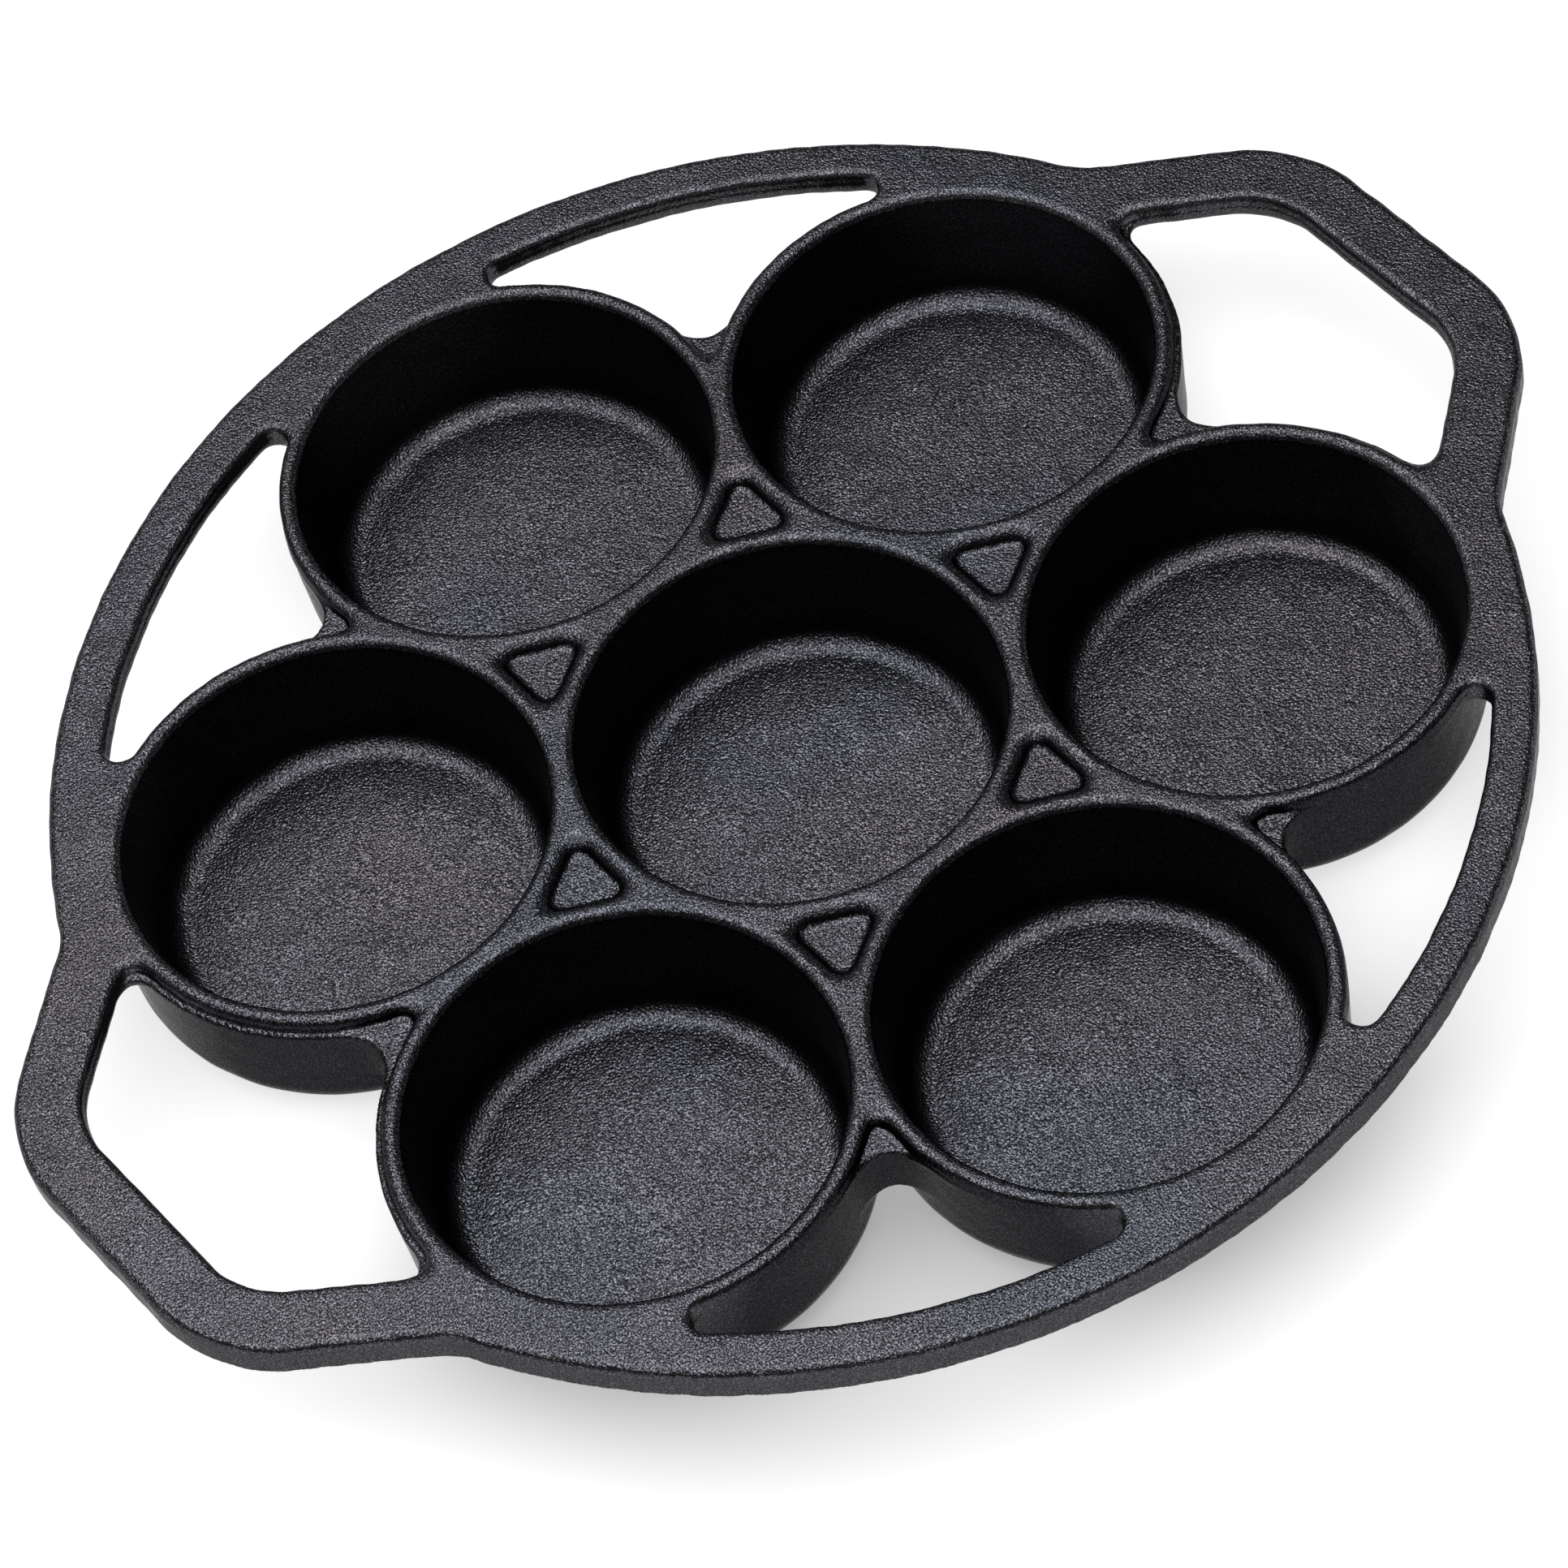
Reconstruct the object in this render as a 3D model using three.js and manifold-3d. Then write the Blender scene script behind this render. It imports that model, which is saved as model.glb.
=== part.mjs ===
// A round cast iron muffin pan: seven cups in a flat rim, with a loop handle at either end.
// The real pan is one casting. It is modelled whole, then parted along its features into named sections.
// Millimetres, +Z up. The origin is on the floor under the middle cup, and the handles lie along X.

import * as THREE from 'three';
import { mergeVertices } from 'three/addons/utils/BufferGeometryUtils.js';
import Module from 'manifold-3d';

const wasm = await Module();
wasm.setup();

// Driving dimensions: cups
const MOUTH_RADIUS = 40.2;
const CUP_DEPTH = 25.7;
const CAVITY_DRAFT = 8.5;
const FLOOR_FILLET = 5;
const FLOOR_THICKNESS = 3.4;
const LIP_WIDTH = 2.7;
const LIP_ROUND = 1.3;
const LEDGE_WIDTH = 0.4;
const WALL_DRAFT = 3;
const BASE_ROUND = 9;
const BRIDGE = 3.6;

// Driving dimensions: pockets and webs between the cups
const RECESS_DEPTH = 2.6;
const POCKET_INRADIUS = 5.6;
const POCKET_CORNER = 3;
const WEB_DEPTH = 14.5;
const WEB_APEX_ROUND = 6;
const RECESS_APEX_ROUND = 2.2;

// Driving dimensions: rim and handles
const RIM_LAND = 10.8;
const RIM_WIDTH = 9.8;
const RIM_THICKNESS = 6.9;
const RIM_EDGE = 1.3;
const WINDOW_TIP_ROUND = 3;
const RECESS_TIP_ROUND = 1.8;
const HANDLE_REACH = 20.5;
const HANDLE_SPAN = 62;
const HANDLE_WIDTH = 12.6;
const HANDLE_ARM_ANGLE = 38.5;
const HANDLE_OUTER_ROUND = 36;
const HANDLE_INNER_ROUND = 20;
const HANDLE_TIP_ROUND = 3.5;
const HANDLE_NECK_ROUND = 18;

// How the casting is parted, and how finely round shapes are drawn
const SEAM = 0.3;
const CUTTER_MARGIN = 2;
const CIRCLE_STEPS = 48;
const FILLET_STEPS = 3;
const LIP_STEPS = 2;
const SMALL_ARC_STEP = THREE.MathUtils.degToRad(15);
const SAME_POINT = 1e-3;
const SAME_ANGLE = 1e-6;

// Sizes that follow from the driving dimensions
const SIXTH = Math.PI / 3;
const HEIGHT = CUP_DEPTH + FLOOR_THICKNESS;
const PARTING = HEIGHT - RECESS_DEPTH;
const PITCH = 2 * MOUTH_RADIUS + BRIDGE;
const LIP_RADIUS = MOUTH_RADIUS + LIP_WIDTH;
const WALL_RADIUS = LIP_RADIUS + LEDGE_WIDTH;
const CUP_CELL_RADIUS = WALL_RADIUS + SEAM / 2;
const CUP_CLEAR_RADIUS = CUP_CELL_RADIUS + SEAM;
const RIM_RADIUS = PITCH + MOUTH_RADIUS + RIM_LAND;
const RIM_INNER_RADIUS = RIM_RADIUS - RIM_WIDTH;
const HANDLE_END = RIM_RADIUS + HANDLE_REACH;
const BEYOND = 2 * HANDLE_END;
const POCKET_DISTANCE = PITCH / Math.sqrt(3);
const CUP_MEETING_DISTANCE = PITCH * Math.cos(SIXTH / 2);
const WEB_APEX_DISTANCE = CUP_MEETING_DISTANCE
  + Math.sqrt((WALL_RADIUS + WEB_APEX_ROUND) ** 2 - (PITCH / 2) ** 2);
const RIM_SPLIT_RADIUS = (WEB_APEX_DISTANCE + RIM_INNER_RADIUS) / 2;

// Half the stretch where two neighbouring cups leave less than two seams between them
const CUP_MEETING_HALF = Math.sqrt(CUP_CLEAR_RADIUS ** 2 - (PITCH / 2 - SEAM) ** 2);

const IRON = new THREE.MeshStandardMaterial({ color: 0x3a3a3c, roughness: 0.55, metalness: 0.6 });

const polar = (radius, angle) => new THREE.Vector2(radius * Math.cos(angle), radius * Math.sin(angle));
const cupAngle = (index) => (index + 0.5) * SIXTH;
const cupCentre = (index) => polar(PITCH, cupAngle(index));
const outerCups = [0, 1, 2, 3, 4, 5];
const cupSpots = [new THREE.Vector2(), ...outerCups.map(cupCentre)];

// Closed solids from outlines and profiles

function solid(geometry) {
  const bare = geometry.clone();
  bare.deleteAttribute('normal');
  bare.deleteAttribute('uv');
  const merged = mergeVertices(bare);
  const mesh = new wasm.Mesh({
    numProp: 3,
    vertProperties: merged.attributes.position.array,
    triVerts: merged.index.array,
  });
  return new wasm.Manifold(mesh);
}

function prism(points, bottom, top, edge = 0) {
  const geometry = new THREE.ExtrudeGeometry(new THREE.Shape(points), {
    depth: top - bottom - 2 * edge,
    bevelEnabled: edge > 0,
    bevelThickness: edge,
    bevelSize: edge,
    bevelOffset: -edge,
    bevelSegments: LIP_STEPS,
  });
  return solid(geometry.translate(0, 0, bottom + edge));
}

function cutter(points, bottom) {
  return prism(points, bottom, HEIGHT + CUTTER_MARGIN);
}

function turned(profile) {
  const geometry = new THREE.LatheGeometry(profile, CIRCLE_STEPS);
  return solid(geometry.rotateX(Math.PI / 2));
}

function placed(shape, spot) {
  return shape.translate([spot.x, spot.y, 0]);
}

const union = (shapes) => shapes.reduce((sum, shape) => sum.add(shape));
const without = (shape, cuts) => cuts.reduce((rest, cut) => rest.subtract(cut), shape);

// Plan outlines, whose edges are straight lines and circles with round corners between them

const line = (normalAngle, reach) => ({ normal: polar(1, normalAngle), reach });
const inside = (centre, radius) => ({ centre, radius, hollow: false });
const outside = (centre, radius, drawnRadius = radius) => ({ centre, radius, drawnRadius, hollow: true });

function offset(edge, inset) {
  if (edge.normal) return { normal: edge.normal, reach: edge.reach - inset };
  return { centre: edge.centre, radius: edge.hollow ? edge.radius + inset : edge.radius - inset };
}

function meetLines(a, b) {
  const cross = a.normal.x * b.normal.y - a.normal.y * b.normal.x;
  const x = (a.reach * b.normal.y - b.reach * a.normal.y) / cross;
  const y = (b.reach * a.normal.x - a.reach * b.normal.x) / cross;
  return [new THREE.Vector2(x, y)];
}

function meetLineCircle(edge, circle) {
  const distance = edge.reach - edge.normal.dot(circle.centre);
  const foot = circle.centre.clone().addScaledVector(edge.normal, distance);
  const half = Math.sqrt(circle.radius ** 2 - distance ** 2);
  const along = new THREE.Vector2(-edge.normal.y, edge.normal.x);
  return [1, -1].map((side) => foot.clone().addScaledVector(along, side * half));
}

function meetCircles(a, b) {
  const between = b.centre.clone().sub(a.centre);
  const span = between.length();
  const reach = (a.radius ** 2 - b.radius ** 2 + span ** 2) / (2 * span);
  const normal = between.divideScalar(span);
  const chord = { normal, reach: normal.dot(a.centre) + reach };
  return meetLineCircle(chord, a);
}

function meet(a, b) {
  if (a.normal && b.normal) return meetLines(a, b);
  if (a.normal) return meetLineCircle(a, b);
  if (b.normal) return meetLineCircle(b, a);
  return meetCircles(a, b);
}

function touchPoint(edge, centre, inset) {
  if (edge.normal) return centre.clone().addScaledVector(edge.normal, inset);
  return centre.clone().sub(edge.centre).setLength(edge.radius).add(edge.centre);
}

// The round corner between two edges, nearest to a given spot. A hollow corner bends into the outline.
function corner(first, second, { radius, near, hollow = false }) {
  const inset = hollow ? -radius : radius;
  const centres = meet(offset(first, inset), offset(second, inset));
  centres.sort((a, b) => a.distanceTo(near) - b.distanceTo(near));
  const centre = centres[0];
  const start = touchPoint(first, centre, inset);
  const end = touchPoint(second, centre, inset);
  return { centre, radius, hollow, start, end };
}

// Points on a circle between two of its points, on steps shared by all the circles of its size
function arc(centre, radius, start, end, clockwise, step) {
  const turn = clockwise ? -1 : 1;
  const from = start.clone().sub(centre).angle();
  let sweep = turn * (end.clone().sub(centre).angle() - from);
  if (sweep < 0) sweep += 2 * Math.PI;
  const angles = [from];
  const first = Math.floor((turn * from + SAME_ANGLE) / step) + 1;
  const last = turn * from + sweep - SAME_ANGLE;
  for (let n = first; n * step < last; n += 1) angles.push(turn * n * step);
  angles.push(from + turn * sweep);
  return angles.map((angle) => polar(radius, angle).add(centre));
}

function outline(edges, rounds) {
  const corners = edges.map((edge, n) => corner(edge, edges[(n + 1) % edges.length], rounds[n]));
  const points = [];
  edges.forEach((edge, n) => {
    const before = corners.at(n - 1);
    const after = corners[n];
    if (edge.centre) {
      const radius = edge.drawnRadius ?? edge.radius;
      const step = (2 * Math.PI) / CIRCLE_STEPS;
      points.push(...arc(edge.centre, radius, before.end, after.start, edge.hollow, step));
    }
    points.push(...arc(after.centre, after.radius, after.start, after.end, after.hollow, SMALL_ARC_STEP));
  });
  return points.filter((point, n) => point.distanceTo(points.at(n - 1)) > SAME_POINT);
}

function circlePoints(radius) {
  const angles = Array.from({ length: CIRCLE_STEPS }, (_, n) => (n * 2 * Math.PI) / CIRCLE_STEPS);
  return angles.map((angle) => polar(radius, angle));
}

// Edges of the handles, at angle 0 on the right and at a half turn on the left

function handleEdges(angle, inset) {
  const lean = Math.PI / 2 - THREE.MathUtils.degToRad(HANDLE_ARM_ANGLE);
  const armReach = HANDLE_END * Math.cos(lean) + (HANDLE_SPAN / 2) * Math.sin(lean);
  return [
    line(angle - lean, armReach - inset),
    line(angle, HANDLE_END - inset),
    line(angle + lean, armReach - inset),
  ];
}

function rimOutline() {
  const rim = inside(new THREE.Vector2(), RIM_RADIUS);
  const edges = [];
  const rounds = [];
  for (const angle of [0, Math.PI]) {
    const near = polar(HANDLE_END, angle);
    const neck = { radius: HANDLE_NECK_ROUND, near, hollow: true };
    const bend = { radius: HANDLE_OUTER_ROUND, near };
    const nextNeck = { ...neck, near: near.clone().negate() };
    edges.push(...handleEdges(angle, 0), rim);
    rounds.push(bend, bend, neck, nextNeck);
  }
  return outline(edges, rounds);
}

// The openings between two neighbouring cups: four windows in the rim and a finger gap in each handle

const RIGHT_GAP = 0;
const LEFT_GAP = 3;
const isHandleGap = (index) => index === RIGHT_GAP || index === LEFT_GAP;

function gapOutline(index, cupRadius, drawnRadius, apexRound, tipRound, handleTipRound) {
  const angle = index * SIXTH;
  const near = polar(RIM_INNER_RADIUS, angle);
  const cupEdge = (cup) => outside(cupCentre(cup), cupRadius, drawnRadius);
  const apex = { radius: apexRound, near };
  const bend = { radius: HANDLE_INNER_ROUND, near };
  const rim = inside(new THREE.Vector2(), RIM_INNER_RADIUS);
  const closing = isHandleGap(index) ? handleEdges(angle, HANDLE_WIDTH) : [rim];
  const tip = { radius: isHandleGap(index) ? handleTipRound : tipRound, near };
  const bends = closing.slice(1).map(() => bend);
  return outline([cupEdge(index), cupEdge(index - 1), ...closing], [apex, tip, ...bends, tip]);
}

// Cuts the web and the rim into the middle of the cup walls, which fill it again up to their outsides
function throughGap(index) {
  const insideWall = WALL_RADIUS - LIP_WIDTH / 2;
  const points = gapOutline(index, WALL_RADIUS, insideWall, WEB_APEX_ROUND, WINDOW_TIP_ROUND, HANDLE_TIP_ROUND);
  return cutter(points, -CUTTER_MARGIN);
}

function recess(index) {
  const tips = [RECESS_TIP_ROUND, HANDLE_TIP_ROUND];
  return cutter(gapOutline(index, LIP_RADIUS, LIP_RADIUS, RECESS_APEX_ROUND, ...tips), PARTING);
}

function pocket(index) {
  const angle = index * SIXTH;
  const middle = polar(POCKET_DISTANCE, angle);
  const sides = [1, 3, 5].map((n) => angle + n * SIXTH);
  const edges = sides.map((side) => line(side, middle.dot(polar(1, side)) + POCKET_INRADIUS));
  const round = { radius: POCKET_CORNER, near: middle };
  return cutter(outline(edges, [round, round, round]), PARTING);
}

// Cups, turned about their own axes

function arcProfile(centreRadius, centreHeight, radius, fromAngle, toAngle, steps) {
  const angles = Array.from({ length: steps + 1 }, (_, n) => fromAngle + ((toAngle - fromAngle) * n) / steps);
  return angles.map((angle) => polar(radius, angle).add(new THREE.Vector2(centreRadius, centreHeight)));
}

function cupBody() {
  const draft = THREE.MathUtils.degToRad(WALL_DRAFT);
  const wallAtRound = WALL_RADIUS - (PARTING - BASE_ROUND) * Math.tan(draft);
  const roundCentre = wallAtRound - BASE_ROUND / Math.cos(draft);
  return turned([
    new THREE.Vector2(0, 0),
    ...arcProfile(roundCentre, BASE_ROUND, BASE_ROUND, -Math.PI / 2, -draft, FILLET_STEPS),
    new THREE.Vector2(WALL_RADIUS, PARTING),
    new THREE.Vector2(WALL_RADIUS, HEIGHT),
    new THREE.Vector2(0, HEIGHT),
  ]);
}

function cupCavity() {
  const draft = THREE.MathUtils.degToRad(CAVITY_DRAFT);
  const wallAt = (height) => MOUTH_RADIUS - (HEIGHT - height) * Math.tan(draft);
  const filletHeight = FLOOR_THICKNESS + FLOOR_FILLET;
  const filletCentre = wallAt(filletHeight) - FLOOR_FILLET / Math.cos(draft);
  const lipHeight = HEIGHT - LIP_ROUND;
  const lipCentre = wallAt(lipHeight) + LIP_ROUND / Math.cos(draft);
  return turned([
    new THREE.Vector2(0, FLOOR_THICKNESS),
    ...arcProfile(filletCentre, filletHeight, FLOOR_FILLET, -Math.PI / 2, -draft, FILLET_STEPS),
    ...arcProfile(lipCentre, lipHeight, LIP_ROUND, Math.PI - draft, Math.PI / 2, LIP_STEPS),
    new THREE.Vector2(lipCentre, HEIGHT + CUTTER_MARGIN),
    new THREE.Vector2(0, HEIGHT + CUTTER_MARGIN),
  ]);
}

// The whole casting

function casting() {
  const gaps = outerCups.map(throughGap);
  const web = without(prism(circlePoints(WEB_APEX_DISTANCE), HEIGHT - WEB_DEPTH, HEIGHT), gaps);
  const rim = without(prism(rimOutline(), HEIGHT - RIM_THICKNESS, HEIGHT, RIM_EDGE), gaps);
  const body = cupBody();
  const cavity = cupCavity();
  const metal = union([web, rim, ...cupSpots.map((spot) => placed(body, spot))]);
  const hollows = cupSpots.map((spot) => placed(cavity, spot));
  return without(metal, [...hollows, ...outerCups.map(recess), ...outerCups.map(pocket)]);
}

// Cells that part the casting into sections, each half a seam short of its neighbours

function cellPrism(points) {
  return prism(points, -CUTTER_MARGIN, HEIGHT + CUTTER_MARGIN);
}

function polygon(normals, reaches) {
  const edges = normals.map((normal, n) => line(normal, reaches[n]));
  return edges.map((edge, n) => meetLines(edge, edges[(n + 1) % edges.length])[0]);
}

function cupCell(facing, isOuter) {
  const sides = outerCups.map((n) => n * SIXTH);
  const isOpen = (side) => isOuter && Math.cos(side) > 0;
  const reaches = sides.map((side) => (isOpen(side) ? BEYOND : PITCH / 2 - SEAM / 2));
  const cell = cellPrism(polygon(sides.map((side) => side + facing), reaches));
  return cell.intersect(cellPrism(circlePoints(CUP_CELL_RADIUS)));
}

function pocketWebCell(index) {
  const middle = polar(POCKET_DISTANCE, index * SIXTH);
  const pocketToMeeting = CUP_MEETING_DISTANCE - POCKET_DISTANCE;
  return placed(cellPrism(circlePoints(pocketToMeeting - CUP_MEETING_HALF)), middle);
}

function outerWebCell(index) {
  const along = index * SIXTH;
  const inner = CUP_MEETING_DISTANCE + CUP_MEETING_HALF;
  const normals = [0, 1, 2, 3].map((n) => along + (n * Math.PI) / 2);
  return cellPrism(polygon(normals, [WEB_APEX_DISTANCE, PITCH / 2, -inner, PITCH / 2]));
}

function rimCell(index) {
  const along = index * SIXTH;
  const apex = polar(SEAM / 2 / Math.sin(SIXTH / 2), along);
  const ends = [-1, 1].map((side) => polar(BEYOND, along + (side * SIXTH) / 2).add(apex));
  return cellPrism([apex, ...ends]).subtract(cellPrism(circlePoints(RIM_SPLIT_RADIUS)));
}

function sections() {
  const whole = casting();
  const clearing = cellPrism(circlePoints(CUP_CLEAR_RADIUS));
  const frame = without(whole, cupSpots.map((spot) => placed(clearing, spot)));
  const named = { middle_cup: whole.intersect(cupCell(cupAngle(0), false)) };
  outerCups.forEach((n) => {
    const cell = placed(cupCell(cupAngle(n), true), cupCentre(n));
    named[`outer_cup_${n + 1}`] = whole.intersect(cell);
    named[`pocket_web_${n + 1}`] = frame.intersect(pocketWebCell(n));
    named[`outer_web_${n + 1}`] = frame.intersect(outerWebCell(n));
  });
  const windows = outerCups.filter((n) => !isHandleGap(n));
  windows.forEach((n, place) => {
    named[`rim_arc_${place + 1}`] = frame.intersect(rimCell(n));
  });
  named.right_handle = frame.intersect(rimCell(RIGHT_GAP));
  named.left_handle = frame.intersect(rimCell(LEFT_GAP));
  return named;
}

function sectionMesh(name, shape) {
  const { vertProperties, triVerts } = shape.getMesh();
  const geometry = new THREE.BufferGeometry();
  geometry.setAttribute('position', new THREE.BufferAttribute(vertProperties, 3));
  geometry.setIndex(new THREE.BufferAttribute(triVerts, 1));
  geometry.computeVertexNormals();
  const mesh = new THREE.Mesh(geometry, IRON.clone());
  mesh.name = name;
  return mesh;
}

const pan = new THREE.Group();
for (const [name, shape] of Object.entries(sections())) pan.add(sectionMesh(name, shape));

export default pan;
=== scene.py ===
"""Looks of a round cast iron muffin pan: one seamless casting, parted into its named sections."""
import math

import bpy
import numpy as np
from mathutils import Euler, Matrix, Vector


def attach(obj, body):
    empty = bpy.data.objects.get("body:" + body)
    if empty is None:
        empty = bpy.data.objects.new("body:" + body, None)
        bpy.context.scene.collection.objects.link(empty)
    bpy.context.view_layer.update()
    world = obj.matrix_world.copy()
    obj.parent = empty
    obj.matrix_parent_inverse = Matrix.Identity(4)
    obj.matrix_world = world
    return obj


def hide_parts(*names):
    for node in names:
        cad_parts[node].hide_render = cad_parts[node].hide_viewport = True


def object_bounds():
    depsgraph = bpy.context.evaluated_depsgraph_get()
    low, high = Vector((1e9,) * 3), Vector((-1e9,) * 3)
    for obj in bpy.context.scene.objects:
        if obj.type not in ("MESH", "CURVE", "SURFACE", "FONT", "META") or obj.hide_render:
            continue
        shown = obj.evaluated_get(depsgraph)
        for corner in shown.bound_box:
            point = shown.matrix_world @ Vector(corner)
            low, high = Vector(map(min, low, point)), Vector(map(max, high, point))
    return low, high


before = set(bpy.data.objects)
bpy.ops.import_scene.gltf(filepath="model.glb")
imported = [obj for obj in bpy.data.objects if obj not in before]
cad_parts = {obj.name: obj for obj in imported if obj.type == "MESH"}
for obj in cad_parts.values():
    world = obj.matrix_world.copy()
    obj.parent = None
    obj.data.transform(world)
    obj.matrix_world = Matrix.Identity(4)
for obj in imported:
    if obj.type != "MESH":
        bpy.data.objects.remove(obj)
cad_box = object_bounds()

# Sizes of the casting in millimetres, the overall ones from the frame
MM = 0.001
HANDLE_END = cad_box[1].x / MM
RIM_RADIUS = cad_box[1].y / MM
HEIGHT = cad_box[1].z / MM
PITCH = 84.0
MOUTH_RADIUS = 39.5
CAVITY_DRAFT = math.radians(6.9)
FLOOR_THICKNESS = 2.9
FLOOR_FILLET = 5.0
LIP_RADIUS = 43.1
WALL_RADIUS = LIP_RADIUS
HANDLE_GAP_LEDGE = 1.3
LEDGE_CHANGE = 12.0
WALL_DRAFT = math.radians(2.4)
WALL_CREASE = 3.0
BASE_ROUND = 9.0
RECESS_DEPTH = 2.6
RECESS_FOOT = 0.6
LEDGE_ROUND = 0.7
TOP_ROUND = 1.8
WEB_DEPTH = 17.0
RIM_WIDTH = 9.0
RIM_THICKNESS = 7.5
RIM_OUTER_ROUND = 1.2
RIM_INNER_ROUND = 4.4
WEB_LOWER_ROUND = 2.0
HANDLE_SPAN = 62.0
HANDLE_WIDTH = 12.6
HANDLE_ARM_ANGLE = math.radians(51.5)
POCKET_INRADIUS = 5.6
POCKET_SLOPE = math.radians(22)
POCKET_FOOT = 0.8
PARTING = HEIGHT - RECESS_DEPTH
RIM_INNER_RADIUS = RIM_RADIUS - RIM_WIDTH
ARM_REACH = HANDLE_END * math.cos(HANDLE_ARM_ANGLE) + HANDLE_SPAN / 2 * math.sin(HANDLE_ARM_ANGLE)
ARM_LIMIT = 0.6 * RIM_RADIUS
POCKET_DISTANCE = PITCH / math.sqrt(3)

# The round tips of the windows, and how far other outlines blend into each other where they meet
TIP_ROUND = 2.9
WINDOW_APEX_BLEND = 12.5
RECESS_APEX_BLEND = 5.0
HANDLE_TIP_BLEND = 6.8
HANDLE_OUTER_BLEND = 10.5
HANDLE_INNER_BLEND = 6.0
HANDLE_NECK_BLEND = 1.0
POCKET_CORNER_BLEND = 4.8

# The rim with its handles, and the windows' outer edge, came out of the mould a little off the cups
RIM_SHIFT = (-1.1, 0.8)
WINDOW_SHIFT = (-0.4, 0.4)

# The grid that the surface is drawn on, and the unevenness of cast iron
GRID_STEP = 0.72
GRID_MARGIN = 2.1
NORMAL_STEP = 0.1
SWELL_HEIGHT = 0.03
SWELL_SOFTENING = 10
SEED = 7
WOBBLE_HEIGHT = 0.05
WOBBLE_LENGTHS = (3.7, 5.3, 8.3, 13.7, 21.1, 33.0)
WOBBLE_TURN = math.radians(137.5)

# Sections in plan, as the frame names them
SECTORS = 6
SECTOR = math.tau / SECTORS
NUMBERS = range(1, SECTORS + 1)
CUP_CELL_RADIUS = 44.3
CUP_CELL_BLEND = 2.0
WEB_SPREAD = 3.5
CUP_MEETING_DISTANCE = PITCH * math.cos(SECTOR / 2)
RIM_SPLIT_RADIUS = 112.0
SECTION_NAMES = (
    ["middle_cup"]
    + [f"outer_cup_{n}" for n in NUMBERS]
    + [f"pocket_web_{n}" for n in NUMBERS]
    + [f"outer_web_{n}" for n in NUMBERS]
    + ["right_handle", "rim_arc_1", "rim_arc_2", "left_handle", "rim_arc_3", "rim_arc_4"]
)
FIRST_POCKET_WEB = 1 + SECTORS
FIRST_OUTER_WEB = 1 + 2 * SECTORS
FIRST_RIM_SECTION = 1 + 3 * SECTORS

# The photographed view: what the camera aims at, how it stands and its lens
CAMERA_AIM = Vector((-10.1, -10.77, HEIGHT)) * MM
CAMERA_DISTANCE = 1.1249
CAMERA_TURN = math.radians(27.5622)
CAMERA_DIP = math.radians(54.0605)
CAMERA_ROLL = math.radians(-15.0752)
CAMERA_LENS = 145.006


def both(a, b, blend):
    """Where two shapes overlap, given as signed distances, with the edge between them rounded."""
    edge = np.hypot(np.maximum(blend + a, 0), np.maximum(blend + b, 0))
    return np.minimum(-blend, np.maximum(a, b)) + edge


def either(a, b, blend):
    """Two shapes joined, with the corner between them filled."""
    return -both(-a, -b, blend)


def cup_spots():
    """Middles of the cups in plan: one in the centre and six round it."""
    turns = [SECTOR * (n + 0.5) for n in range(SECTORS)]
    return [(0.0, 0.0)] + [(PITCH * math.cos(t), PITCH * math.sin(t)) for t in turns]


def cup_distances(x, y):
    """Distances in plan to the axes of all cups."""
    return np.stack([np.hypot(x - cx, y - cy) for cx, cy in cup_spots()])


def wobble(x, y):
    """Unevenness of cast edges in plan: waves of several lengths, each running its own way."""
    total = 0
    for number, length in enumerate(WOBBLE_LENGTHS):
        turn = number * WOBBLE_TURN
        total = total + np.sin((x * math.cos(turn) + y * math.sin(turn)) * 2 * math.pi / length + number)
    return WOBBLE_HEIGHT * total / math.sqrt(len(WOBBLE_LENGTHS) / 2)


def handle_outline(x, y, inset, blend):
    """Both loop handles in plan: slanted arms and a straight end, drawn in by an inset."""
    arms = np.abs(x) * math.cos(HANDLE_ARM_ANGLE) + np.abs(y) * math.sin(HANDLE_ARM_ANGLE)
    return both(arms - ARM_REACH + inset, np.abs(x) - HANDLE_END + inset, blend)


def rim_outline(x, y):
    """Outer edge of the rim with its handles."""
    x, y = x - RIM_SHIFT[0], y - RIM_SHIFT[1]
    handles = np.maximum(handle_outline(x, y, 0, HANDLE_OUTER_BLEND), np.abs(y) - ARM_LIMIT)
    return either(np.hypot(x, y) - RIM_RADIUS, handles, HANDLE_NECK_BLEND) + wobble(x, y)


def handle_sector(x, y):
    """Distance into the two sixths of the plan that hold the handles."""
    return np.abs(x) * math.sin(SECTOR / 2) - np.abs(y) * math.cos(SECTOR / 2)


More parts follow.
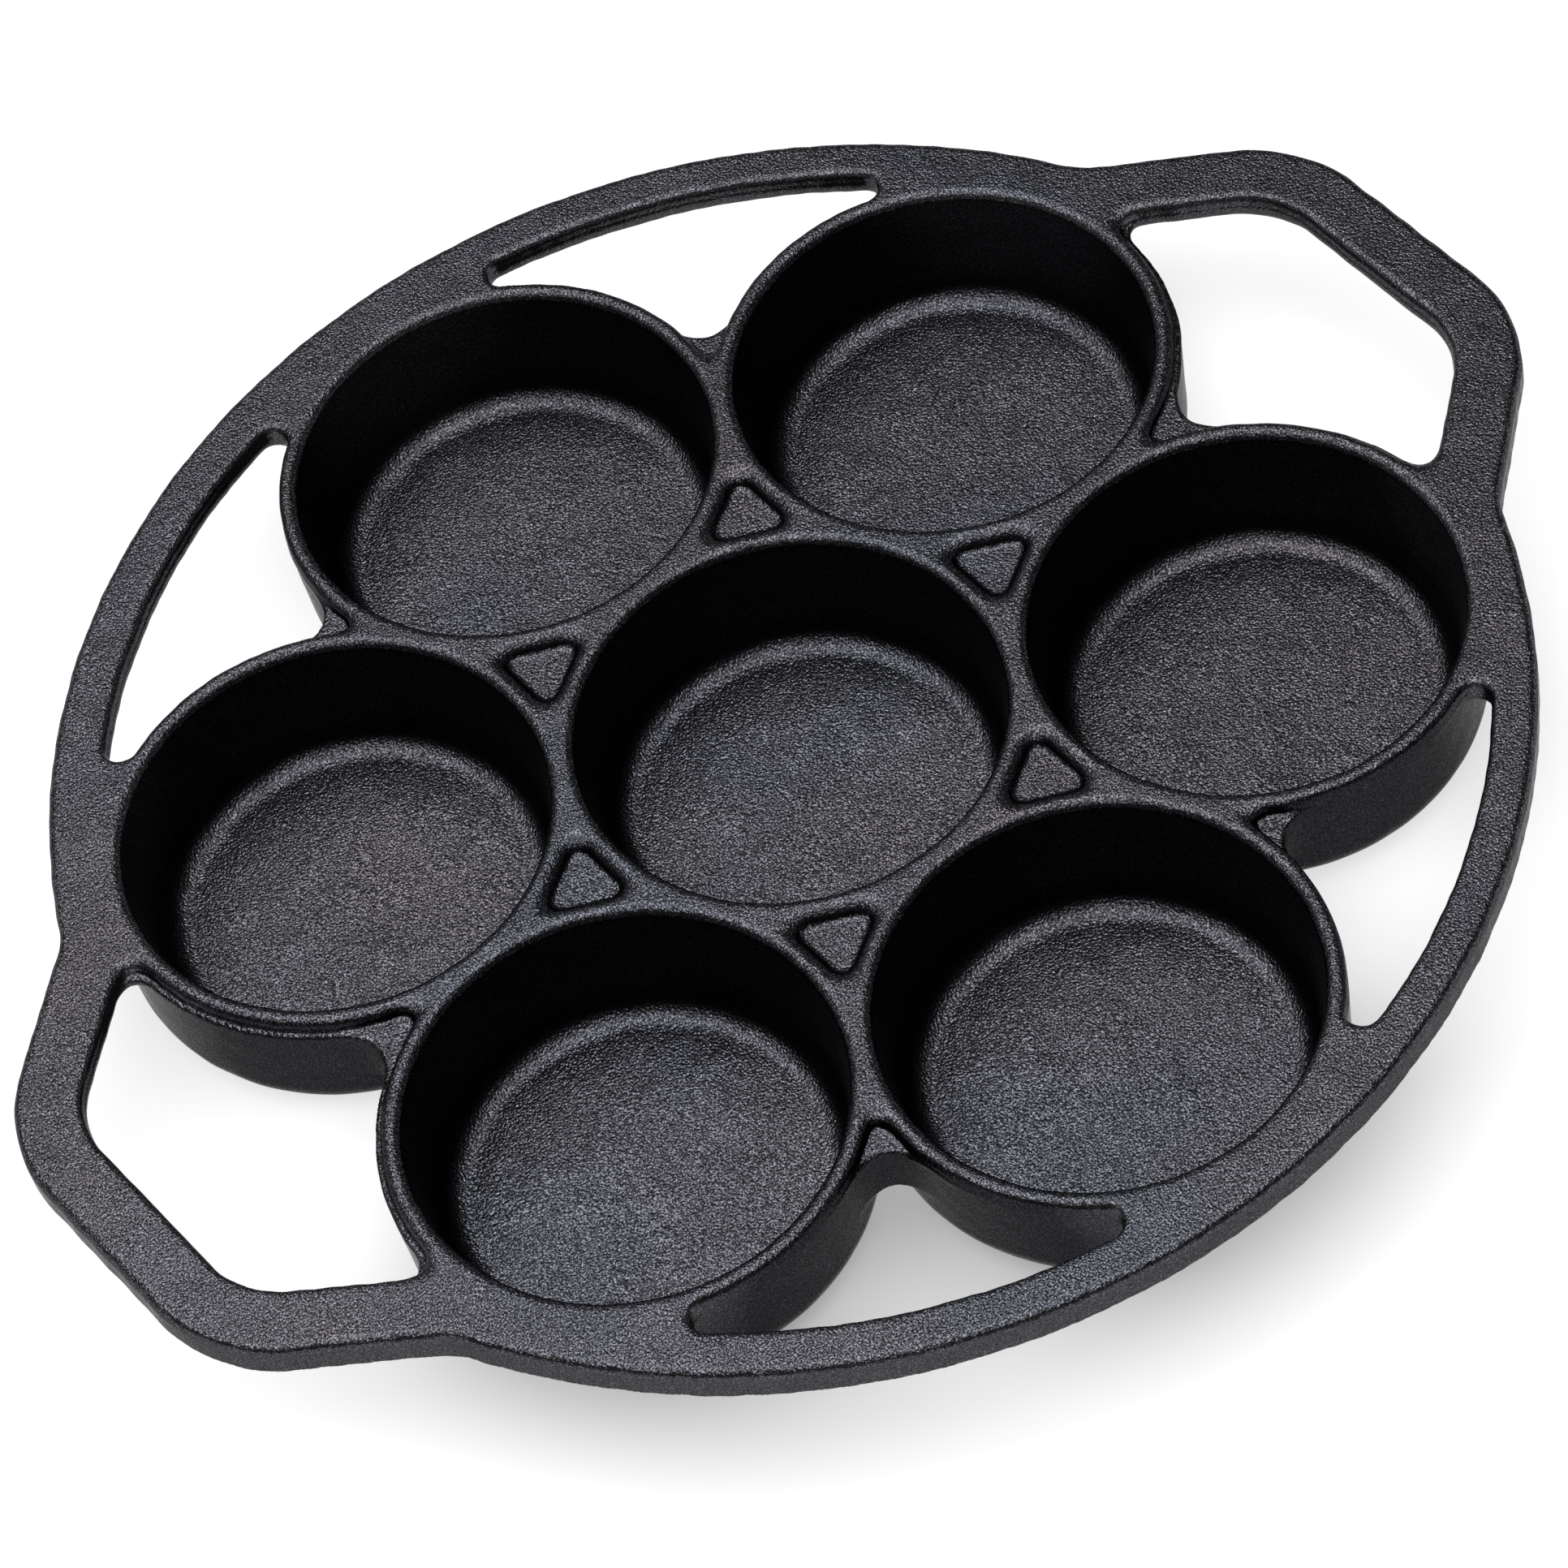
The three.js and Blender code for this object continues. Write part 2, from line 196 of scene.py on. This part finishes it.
def round_tips(x, y, cup_radius, window):
    """Windows in plan, with a round end where a cup closes on the rim, touching both."""
    # Places are taken along and across the line from the rim's middle to the nearest outer cup
    middles = np.array(cup_spots()[1:]) - WINDOW_SHIFT
    middle = middles[cup_distances(x, y)[1:].argmin(axis=0)]
    reach = np.hypot(middle[..., 0], middle[..., 1])
    out_x, out_y = middle[..., 0] / reach, middle[..., 1] / reach
    rim_x, rim_y = x - WINDOW_SHIFT[0], y - WINDOW_SHIFT[1]
    from_rim, from_cup = RIM_INNER_RADIUS - TIP_ROUND, cup_radius + TIP_ROUND
    tip_along = (reach**2 + from_rim**2 - from_cup**2) / (2 * reach)
    tip_across = np.sqrt(np.maximum(from_rim**2 - tip_along**2, 0))
    along = rim_x * out_x + rim_y * out_y - tip_along
    across = np.abs(rim_x * out_y - rim_y * out_x) - tip_across
    # The round end holds between the lines from its middle to where it touches the rim and the cup
    rim_side = along * tip_across - across * tip_along > 0
    cup_side = (reach - tip_along) * across + tip_across * along > 0
    return np.where(rim_side & cup_side, np.hypot(along, across) - TIP_ROUND, window)


def gap_outline(x, y, cup_radius, apex_blend):
    """Windows and handle gaps in plan: outside the cups, inside the rim or a handle."""
    nearest = np.sort(cup_distances(x, y), axis=0)
    outside_cups = both(cup_radius - nearest[0], cup_radius - nearest[1], apex_blend)
    rim_x, rim_y = x - RIM_SHIFT[0], y - RIM_SHIFT[1]
    inside_handle = handle_outline(rim_x, rim_y, HANDLE_WIDTH, HANDLE_INNER_BLEND)
    handle_gap = both(outside_cups, inside_handle, HANDLE_TIP_BLEND)
    inside_ring = np.hypot(x - WINDOW_SHIFT[0], y - WINDOW_SHIFT[1]) - RIM_INNER_RADIUS
    window = round_tips(x, y, cup_radius, np.maximum(outside_cups, inside_ring))
    beyond_pockets = CUP_MEETING_DISTANCE - np.hypot(x, y)
    gap = np.where(handle_sector(x, y) > 0, handle_gap, window) + wobble(x, y)
    return np.maximum(gap, beyond_pockets)


def sector_of(x, y):
    """Number of the sixth of the pan that a place is in, from the right handle round."""
    return np.round(np.arctan2(y, x) / SECTOR).astype(int) % SECTORS


def pocket_outline(x, y):
    """Six triangles in plan, one in each meeting of three cups."""
    turn = np.arctan2(y, x) - np.round(np.arctan2(y, x) / SECTOR) * SECTOR
    out = np.hypot(x, y) * np.cos(turn) - POCKET_DISTANCE
    across = np.hypot(x, y) * np.sin(turn)
    sides = [out * math.cos(t) + across * math.sin(t) - POCKET_INRADIUS for t in (math.pi, SECTOR, -SECTOR)]
    corner = both(sides[1], sides[2], POCKET_CORNER_BLEND)
    return both(sides[0], corner, POCKET_CORNER_BLEND)


def wall_radius(x, y):
    """Radius of the cups' walls at the parting plane, where a ledge shows: wider in the handle gaps."""
    share = np.clip(0.5 + handle_sector(x, y) / LEDGE_CHANGE, 0, 1)
    return WALL_RADIUS + HANDLE_GAP_LEDGE * share


def cup_wall(distance, radius, z):
    """Outside of a cup, as if it went on downwards: a drafted wall."""
    return (distance - radius + (PARTING - z) * math.tan(WALL_DRAFT)) * math.cos(WALL_DRAFT)


def cup_cavity(distance, z):
    """Inside of a cup: a drafted wall with a fillet to a flat floor."""
    radius = MOUTH_RADIUS - (HEIGHT - z) * math.tan(CAVITY_DRAFT)
    return both((distance - radius) * math.cos(CAVITY_DRAFT), FLOOR_THICKNESS - z, FLOOR_FILLET)


def casting(x, y, z):
    """Signed distance of the casting, at places in plan and heights over the base."""
    radius = wall_radius(x, y)
    gap = gap_outline(x, y, radius, WINDOW_APEX_BLEND)[..., None]
    recess = gap_outline(x, y, LIP_RADIUS, RECESS_APEX_BLEND)[..., None]
    rim = rim_outline(x, y)[..., None]
    pocket = pocket_outline(x, y)[..., None]
    nearest = np.sort(cup_distances(x, y), axis=0)[..., None]
    radius = radius[..., None]

    wall, next_wall = cup_wall(nearest[0], radius, z), cup_wall(nearest[1], radius, z)
    walls = either(both(wall, -z, BASE_ROUND), both(next_wall, -z, BASE_ROUND), WALL_CREASE)
    web_face = either(wall, next_wall, WINDOW_APEX_BLEND)
    webs = both(web_face, HEIGHT - WEB_DEPTH - z, WEB_LOWER_ROUND)
    rim_bottom = HEIGHT - RIM_THICKNESS - z
    plate = np.maximum(both(rim, rim_bottom, RIM_OUTER_ROUND), both(-gap, rim_bottom, RIM_INNER_ROUND))
    metal = np.minimum(np.minimum(walls, plate), webs)
    pocket_side = (pocket + (HEIGHT - z) * math.tan(POCKET_SLOPE)) * math.cos(POCKET_SLOPE)
    metal = np.maximum(metal, -cup_cavity(nearest[0], z))
    metal = both(metal, -both(recess, PARTING - z, RECESS_FOOT), LEDGE_ROUND)
    metal = np.maximum(metal, -both(pocket_side, PARTING - z, POCKET_FOOT))
    return both(metal, z - HEIGHT, TOP_ROUND)


def casting_slope(points):
    """How fast the casting's signed distance rises at points, along each axis."""
    slopes = []
    for step in np.eye(3) * NORMAL_STEP:
        ends = [casting(p[:, 0], p[:, 1], p[:, 2:])[:, 0] for p in (points - step, points + step)]
        slopes.append((ends[1] - ends[0]) / (2 * NORMAL_STEP))
    return np.stack(slopes, axis=1)


def unit(vectors):
    """Vectors made one long."""
    return vectors / np.maximum(np.linalg.norm(vectors, axis=1, keepdims=True), 1e-9)


def soften(values, passes):
    """Averages each value with its neighbours, several times over."""
    for _ in range(passes):
        for axis in range(3):
            values = 0.5 * values + 0.25 * (np.roll(values, 1, axis) + np.roll(values, -1, axis))
    return values


def unevenness(random, shape, passes):
    """Smooth random values with a spread of 1."""
    values = soften(random.standard_normal(shape, dtype=np.float32), passes)
    return values / values.std()


def section_labels(x, y):
    """For each place in plan, the number in SECTION_NAMES of the section that it is in."""
    distances = cup_distances(x, y)
    nearest = np.sort(distances, axis=0) - CUP_CELL_RADIUS
    radius = np.hypot(x, y)
    beside_web = (nearest[1] - nearest[0] > WEB_SPREAD) & (radius < RIM_SPLIT_RADIUS)
    in_cup = (either(nearest[0], nearest[1], CUP_CELL_BLEND) < 0) | beside_web
    first = np.where(radius < RIM_SPLIT_RADIUS, FIRST_OUTER_WEB, FIRST_RIM_SECTION)
    first = np.where(radius < CUP_MEETING_DISTANCE, FIRST_POCKET_WEB, first)
    between = first + sector_of(x, y)
    return np.where(in_cup, distances.argmin(axis=0), between)


# The surface: a vertex in each grid cell that a border passes, and a quad across each grid edge that it cuts
CORNERS = np.array([(i, j, k) for i in (0, 1) for j in (0, 1) for k in (0, 1)])
EDGES = [(a, b) for a in range(8) for b in range(a + 1, 8) if np.abs(CORNERS[a] - CORNERS[b]).sum() == 1]
AROUND_EDGE = ((-1, -1), (0, -1), (0, 0), (-1, 0))
CLEAN_PASSES = 3


def layers(values, axis):
    """The values without the last layer, and without the first, along one axis."""
    turned = np.moveaxis(values, axis, 0)
    return np.moveaxis(turned[:-1], 0, axis), np.moveaxis(turned[1:], 0, axis)


def part_cleanly(labels):
    """Where a section touches itself only diagonally, gives one of the two places to a neighbour."""
    for one, two in ((0, 1), (0, 2), (1, 2)):
        low, high = layers(labels, one)
        (a, b), (c, d) = layers(low, two), layers(high, two)
        for here, across, side, other in ((a, d, b, c), (b, c, a, d)):
            beside = np.maximum(side, other)
            touches = (here == across) & (here > 0) & (side != here) & (other != here) & (beside > 0)
            here[touches] = beside[touches]


def border_cells(labels):
    """Grid cells whose eight corners don't all have the same label."""
    low = high = labels
    for axis in range(3):
        low = np.minimum(*layers(low, axis))
        high = np.maximum(*layers(high, axis))
    return low != high


def at_corners(values, cells):
    """Values at the eight corners of each cell."""
    return np.stack([values[tuple((cells + corner).T)] for corner in CORNERS], axis=1)


def border_points(field, labels, cells):
    """Place of the border in each cell, from 0 to 1 along its sides."""
    heights = at_corners(field, cells)
    kinds = at_corners(labels, cells)
    skin, skin_count = np.zeros((len(cells), 3)), np.zeros((len(cells), 1))
    seam, seam_count = np.zeros((len(cells), 3)), np.zeros((len(cells), 1))
    for a, b in EDGES:
        crosses = (heights[:, a] < 0) != (heights[:, b] < 0)
        parts = ~crosses & (kinds[:, a] != kinds[:, b])
        rise = np.where(crosses, heights[:, a] - heights[:, b], 1)
        along = np.where(crosses, heights[:, a] / rise, 0.5)[:, None]
        point = CORNERS[a] + along * (CORNERS[b] - CORNERS[a])
        skin += point * crosses[:, None]
        skin_count += crosses[:, None]
        seam += point * parts[:, None]
        seam_count += parts[:, None]
    return np.where(skin_count > 0, skin / np.maximum(skin_count, 1), seam / np.maximum(seam_count, 1))


def between_corners(values, cells, places):
    """Values at places inside grid cells, from those at the cells' corners."""
    total = 0
    for corner in CORNERS:
        share = np.where(corner == 1, places, 1 - places).prod(axis=1)
        total = total + share * values[tuple((cells + corner).T)]
    return total


def border_quads(labels, cells):
    """Quads between unlike labels: their four points, the label inside and the label outside."""
    index = np.full(np.array(labels.shape) - 1, -1, dtype=np.int32)
    index[tuple(cells.T)] = np.arange(len(cells))
    quads, inside, outside = [], [], []
    for axis in range(3):
        here, there = layers(labels, axis)
        edges = np.argwhere(here != there)
        corners = []
        for step_one, step_two in AROUND_EDGE:
            cell = edges.copy()
            cell[:, (axis + 1) % 3] += step_one
            cell[:, (axis + 2) % 3] += step_two
            corners.append(index[tuple(cell.T)])
        quad = np.stack(corners, axis=1)
        ends = here[tuple(edges.T)], there[tuple(edges.T)]
        quads += [quad, quad[:, ::-1]]
        inside += [ends[0], ends[1]]
        outside += [ends[1], ends[0]]
    return np.concatenate(quads), np.concatenate(inside), np.concatenate(outside)


def quad_normals(points, quads):
    """Normals of quads, from their diagonals."""
    a, b, c, d = (points[quads[:, n]] for n in range(4))
    return unit(np.cross(c - a, d - b))


def new_piece(name, points, quads, corner_normals, material):
    """Mesh object from numpy arrays, in metres."""
    mesh = bpy.data.meshes.new(name)
    mesh.vertices.add(len(points))
    mesh.vertices.foreach_set("co", points.astype(np.float32).ravel())
    mesh.loops.add(quads.size)
    mesh.loops.foreach_set("vertex_index", quads.astype(np.int32).ravel())
    mesh.polygons.add(len(quads))
    mesh.polygons.foreach_set("loop_start", np.arange(0, quads.size, 4, dtype=np.int32))
    mesh.update(calc_edges=True)
    mesh.normals_split_custom_set(corner_normals)
    mesh.materials.append(material)
    piece = bpy.data.objects.new(name, mesh)
    bpy.context.scene.collection.objects.link(piece)
    return piece


def grid_axis(low, high):
    """Grid coordinates from one end of the casting to the other."""
    return np.arange(low - GRID_MARGIN, high + GRID_MARGIN, GRID_STEP, dtype=np.float32)


def onto_surface(points):
    """Points moved along the slope to where the casting's surface is."""
    miss = casting(points[:, 0], points[:, 1], points[:, 2:])[:, 0]
    return points - unit(casting_slope(points)) * np.clip(miss, -GRID_STEP / 2, GRID_STEP / 2)[:, None]


def swell_surface(points, cells, places, grid_shape):
    """Surface points raised and sunk a little, as sand leaves them, and the normals there."""
    swell = SWELL_HEIGHT * unevenness(np.random.default_rng(SEED), grid_shape, SWELL_SOFTENING)
    lean = [between_corners(rise, cells, places) for rise in np.gradient(swell, GRID_STEP)]
    normals = unit(unit(casting_slope(points)) - np.stack(lean, axis=1))
    return points + normals * between_corners(swell, cells, places)[:, None], normals


def draw_casting():
    """Points in metres, normals on the outer surface, and quads with the labels on their two sides."""
    xs, ys, zs = (grid_axis(cad_box[0][n] / MM, cad_box[1][n] / MM) for n in range(3))
    x, y = np.meshgrid(xs, ys, indexing="ij")
    field = casting(x, y, zs).astype(np.float32)
    labels = np.where(field < 0, section_labels(x, y)[..., None] + 1, 0).astype(np.int8)
    for _ in range(CLEAN_PASSES):
        part_cleanly(labels)
    cells = np.argwhere(border_cells(labels))
    places = border_points(field, labels, cells)
    points = np.array([xs[0], ys[0], zs[0]]) + (cells + places) * GRID_STEP

    heights = at_corners(field, cells)
    skin = (heights.min(axis=1) < 0) & (heights.max(axis=1) >= 0)
    normals = np.zeros_like(points)
    settled = onto_surface(points[skin])
    points[skin], normals[skin] = swell_surface(settled, cells[skin], places[skin], field.shape)
    return points * MM, normals, border_quads(labels, cells)


def make_casting(material):
    """Makes one closed piece of each section, shaded as one surface across the sections' borders."""
    points, normals, (quads, inside, outside) = draw_casting()
    for number, name in enumerate(SECTION_NAMES, start=1):
        own = inside == number
        used, local = np.unique(quads[own], return_inverse=True)
        local = local.reshape(-1, 4)
        on_skin = (outside[own] == 0)[:, None, None]
        flat = quad_normals(points[used], local)[:, None, :]
        corner_normals = np.where(on_skin, normals[used][local], flat).reshape(-1, 3)
        piece = new_piece(name + "_casting", points[used], local, corner_normals, material)
        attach(piece, "root")
        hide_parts(name)


def set_input(tree, socket, value):
    """Links a socket to another one, or gives it a value."""
    if isinstance(value, bpy.types.NodeSocket):
        tree.links.new(value, socket)
    else:
        socket.default_value = value


def add_node(tree, kind, **inputs):
    """Shader node with values or links on its named inputs."""
    node = tree.nodes.new(kind)
    for name, value in inputs.items():
        set_input(tree, node.inputs[name.replace("_", " ")], value)
    return node


def noise(tree, place, scale, detail, roughness=0.5):
    """Noise value at a scale per metre."""
    sizes = {"Scale": scale, "Detail": detail, "Roughness": roughness}
    return add_node(tree, "ShaderNodeTexNoise", Vector=place, **sizes).outputs["Fac"]


def remap(tree, value, start, end):
    """Value moved from one range to another, each range given as its two ends."""
    node = add_node(tree, "ShaderNodeMapRange", Value=value)
    for name, number in zip(("From Min", "From Max", "To Min", "To Max"), (*start, *end)):
        node.inputs[name].default_value = number
    return node.outputs["Result"]


def calculate(tree, operation, *values):
    """Sum, product or the like of values."""
    node = tree.nodes.new("ShaderNodeMath")
    node.operation = operation
    for socket, value in zip(node.inputs, values):
        set_input(tree, socket, value)
    return node.outputs[0]


def measure(tree, operation, *vectors):
    """Length of a vector, or the product of two."""
    node = tree.nodes.new("ShaderNodeVectorMath")
    node.operation = operation
    for socket, vector in zip(node.inputs, vectors):
        set_input(tree, socket, vector)
    return node.outputs["Value"]


def mix_colours(tree, share, first, second):
    """Colour between two, by a share."""
    node = tree.nodes.new("ShaderNodeMix")
    node.data_type = "RGBA"
    tree.links.new(share, node.inputs["Factor"])
    for socket, value in zip([s for s in node.inputs if s.type == "RGBA"], (first, second)):
        set_input(tree, socket, value)
    return [s for s in node.outputs if s.type == "RGBA"][0]


# Cast iron: colours as linear light
IRON_PIT = (0.0155, 0.0155, 0.0176, 1)
IRON_COOL_GRAIN = (0.242, 0.255, 0.301, 1)
IRON_WARM_GRAIN = (0.272, 0.253, 0.284, 1)
IRON_GRAZED = (0.5, 0.5, 0.5, 1)
# Painted shade: the steep sides are darker than the tops, and the cups' walls inside the rim are darkest
RIM_SIDE_PAINTED_SHADE = (0.036, 0.035, 0.038, 1)
RIM_SIDE_GRAIN_PAINTED_SHADE = (0.13, 0.127, 0.139, 1)
CUP_SIDE_PAINTED_SHADE = (0.011, 0.0103, 0.0118, 1)
CUP_SIDE_GRAIN_PAINTED_SHADE = (0.05, 0.047, 0.054, 1)
IRON_METAL = 0.97

# Its grain: sizes per metre, and heights and distances in metres
PEBBLE_SCALE = 2000
PEBBLE_HEIGHT = 0.00011
FLECK_SCALE = 3200
FLECK_DETAIL = 0
CLOUD_SCALE = 70
CLOUD_DETAIL = 3
CLOUD_ROUGHNESS = 0.6
TINT_SCALE = 14
TINT_DETAIL = 2
GRAIN_SKEW = 2.3
RIM_BLEND = (0.118, 0.125)

# Ranges of noise, of how level a face is (1 is level), and of what they are turned into
SHARE = (0, 1)
CLOUD_NOISE = (0.2, 0.8)
CLOUD_SHIFT = (-0.035, 0.035)
FLECK_NOISE = (0.2, 0.8)
TINT_NOISE = (0.35, 0.65)
GLOSS_NOISE = (0.35, 0.65)
PIT_TO_GRAIN_ROUGHNESS = (0.34, 0.2)
PEBBLE_LEVEL = (0.5, 0.95)
PEBBLE_STRENGTH = (0.6, 1)
# How steep a face gets before the painted shade of the sides takes over from the tops' colour
TOP_TO_PAINTED_SHADE_LEVEL = (0.98, 0.56)


def iron_colour(tree, place, fleck, level):
    """Pits and grains, cool and warm in patches, with painted shade darkening the sides of the cups and the
    rim.
    """
    glint = calculate(tree, "POWER", remap(tree, fleck, FLECK_NOISE, SHARE), GRAIN_SKEW)
    tint = remap(tree, noise(tree, place, TINT_SCALE, TINT_DETAIL), TINT_NOISE, SHARE)
    top = mix_colours(tree, glint, IRON_PIT, mix_colours(tree, tint, IRON_COOL_GRAIN, IRON_WARM_GRAIN))
    # Painted shade on the sides: darkest on the cups' walls, less dark on the rim's sides
    on_rim = remap(tree, measure(tree, "LENGTH", place), RIM_BLEND, SHARE)
    painted_shade_pit = mix_colours(tree, on_rim, CUP_SIDE_PAINTED_SHADE, RIM_SIDE_PAINTED_SHADE)
    painted_shade_grain = mix_colours(tree, on_rim, CUP_SIDE_GRAIN_PAINTED_SHADE, RIM_SIDE_GRAIN_PAINTED_SHADE)
    side = mix_colours(tree, glint, painted_shade_pit, painted_shade_grain)
    # Faces turn from the tops' colour to the painted shade as they get steeper
    return mix_colours(tree, remap(tree, level, TOP_TO_PAINTED_SHADE_LEVEL, SHARE), top, side)


def cast_iron():
    """Seasoned iron as it came from the sand: black, finely pebbled, with glints on the grains and painted
    shade on its sides.
    """
    material = bpy.data.materials.new("cast_iron")
    material.use_nodes = True
    tree = material.node_tree
    shader = tree.nodes["Principled BSDF"]
    place = tree.nodes.new("ShaderNodeTexCoord").outputs["Object"]
    pebble = add_node(tree, "ShaderNodeTexVoronoi", Vector=place, Scale=PEBBLE_SCALE).outputs["Distance"]
    clouds = noise(tree, place, CLOUD_SCALE, CLOUD_DETAIL, CLOUD_ROUGHNESS)
    clouds = remap(tree, clouds, CLOUD_NOISE, CLOUD_SHIFT)
    fleck = calculate(tree, "ADD", noise(tree, place, FLECK_SCALE, FLECK_DETAIL), clouds)
    normal = tree.nodes.new("ShaderNodeNewGeometry").outputs["Normal"]
    facing = add_node(tree, "ShaderNodeSeparateXYZ", Vector=normal).outputs["Z"]
    level = calculate(tree, "ABSOLUTE", facing)

    strength = remap(tree, level, PEBBLE_LEVEL, PEBBLE_STRENGTH)
    bump = add_node(tree, "ShaderNodeBump", Height=pebble, Distance=PEBBLE_HEIGHT, Strength=strength)
    bump.invert = True
    tree.links.new(iron_colour(tree, place, fleck, level), shader.inputs["Base Color"])
    tree.links.new(remap(tree, fleck, GLOSS_NOISE, PIT_TO_GRAIN_ROUGHNESS), shader.inputs["Roughness"])
    tree.links.new(bump.outputs["Normal"], shader.inputs["Normal"])
    shader.inputs["Metallic"].default_value = IRON_METAL
    shader.inputs["Specular Tint"].default_value = IRON_GRAZED
    return material


# Table, its glow, its painted shadow and the lights, in metres; FRONT points from the pan to the camera
TABLE_RADIUS = 6.0
TABLE_GLOW_NEAR = 0.68
TABLE_GLOW_FAR = 1.0
TABLE_COLOUR = (0.56, 0.56, 0.56, 1)
TABLE_GLOW_RANGE = (0.3, 1.6)
FRONT = (-math.sin(CAMERA_TURN), -math.cos(CAMERA_TURN), 0)
# Painted shadow: how far the paper's glow is dimmed under the front of the pan
FRONT_PAINTED_SHADOW = 0.36
FRONT_PAINTED_SHADOW_RISE = (0.05, 0.09)
FRONT_PAINTED_SHADOW_FADE = (0.15, 0.11)
SWEEP_HEIGHT = 1.2
SWEEP_STEPS = 12
TURN_STEPS = 96
PANEL_PLACE = (-0.21, 0.19, 1.05)
PANEL_SIZE = (1.6, 1.97)
PANEL_TURN = math.radians(15)
PANEL_POWER = 20
ROOM_LIGHT = 0.05


def painted_front_shadow(tree, place, away):
    """Painted shadow: how much darker the paper's glow is made under the front of the pan, deepest close to
    it.
    """
    forward = measure(tree, "DOT_PRODUCT", place, FRONT)
    rise = remap(tree, forward, FRONT_PAINTED_SHADOW_RISE, (0, FRONT_PAINTED_SHADOW))
    return calculate(tree, "MULTIPLY", rise, remap(tree, away, FRONT_PAINTED_SHADOW_FADE, SHARE))


def table_material():
    """White paper that shows as white to the camera and in reflections, keeps the shadow, and has a painted
    shadow in front.
    """
    material = bpy.data.materials.new("white_paper")
    material.use_nodes = True
    tree = material.node_tree
    tree.nodes.clear()
    rays = tree.nodes.new("ShaderNodeLightPath").outputs
    seen = calculate(tree, "MAXIMUM", rays["Is Camera Ray"], rays["Is Glossy Ray"])
    seen = calculate(tree, "MAXIMUM", seen, rays["Is Transmission Ray"])
    place = tree.nodes.new("ShaderNodeTexCoord").outputs["Object"]
    away = measure(tree, "LENGTH", place)
    level = remap(tree, away, TABLE_GLOW_RANGE, (TABLE_GLOW_NEAR, TABLE_GLOW_FAR))
    # Painted shadow, taken off the glow for camera rays only
    painted_shadow = calculate(tree, "MULTIPLY", painted_front_shadow(tree, place, away), rays["Is Camera Ray"])
    level = calculate(tree, "SUBTRACT", level, painted_shadow)
    glow = add_node(tree, "ShaderNodeEmission", Strength=calculate(tree, "MULTIPLY", seen, level))
    paper = add_node(tree, "ShaderNodeBsdfDiffuse", Color=TABLE_COLOUR)
    total = tree.nodes.new("ShaderNodeAddShader")
    tree.links.new(glow.outputs[0], total.inputs[0])
    tree.links.new(paper.outputs[0], total.inputs[1])
    output = tree.nodes.new("ShaderNodeOutputMaterial")
    tree.links.new(total.outputs[0], output.inputs["Surface"])
    return material


def make_table():
    """Round table top that sweeps up at its far edge into a backdrop all round."""
    profile = [(0.0, 0.0), (TABLE_RADIUS, 0.0)]
    for step in range(1, SWEEP_STEPS + 1):
        turn = math.pi / 2 * step / SWEEP_STEPS
        profile.append((TABLE_RADIUS + SWEEP_HEIGHT * math.sin(turn), SWEEP_HEIGHT * (1 - math.cos(turn))))
    points = [(0.0, 0.0, 0.0)]
    faces = []
    for ring, (radius, height) in enumerate(profile[1:]):
        for n in range(TURN_STEPS):
            turn = 2 * math.pi * n / TURN_STEPS
            points.append((radius * math.cos(turn), radius * math.sin(turn), height))
            here, there = 1 + n, 1 + (n + 1) % TURN_STEPS
            if ring == 0:
                faces.append((0, here, there))
            else:
                inner, outer = (ring - 1) * TURN_STEPS, ring * TURN_STEPS
                faces.append((inner + here, outer + here, outer + there, inner + there))
    mesh = bpy.data.meshes.new("table")
    mesh.from_pydata(points, [], faces)
    mesh.materials.append(table_material())
    table = bpy.data.objects.new("table", mesh)
    bpy.context.scene.collection.objects.link(table)


def make_light():
    """Large soft panel overhead, facing down."""
    data = bpy.data.lights.new("soft_panel", "AREA")
    data.shape = "RECTANGLE"
    data.size, data.size_y = PANEL_SIZE
    data.energy = PANEL_POWER
    light = bpy.data.objects.new("soft_panel", data)
    light.location = PANEL_PLACE
    light.rotation_euler.z = PANEL_TURN
    bpy.context.scene.collection.objects.link(light)


def make_world():
    """Even grey room."""
    world = bpy.data.worlds.new("room")
    bpy.context.scene.world = world
    world.use_nodes = True
    background = world.node_tree.nodes["Background"]
    background.inputs["Color"].default_value = (1, 1, 1, 1)
    background.inputs["Strength"].default_value = ROOM_LIGHT


def make_camera():
    """Camera at the photographed viewing angle."""
    data = bpy.data.cameras.new("camera")
    data.lens = CAMERA_LENS
    camera = bpy.data.objects.new("camera", data)
    turn = Euler((0, 0, -CAMERA_TURN)).to_matrix()
    tilt = Euler((math.pi / 2 - CAMERA_DIP, 0, 0)).to_matrix()
    roll = Euler((0, 0, CAMERA_ROLL)).to_matrix()
    axes = turn @ tilt @ roll
    camera.location = CAMERA_AIM + axes @ Vector((0, 0, CAMERA_DISTANCE))
    camera.rotation_euler = axes.to_euler()
    bpy.context.scene.collection.objects.link(camera)
    bpy.context.scene.camera = camera


make_camera()
make_casting(cast_iron())
make_table()
make_light()
make_world()
bpy.context.scene.view_settings.view_transform = "Standard"
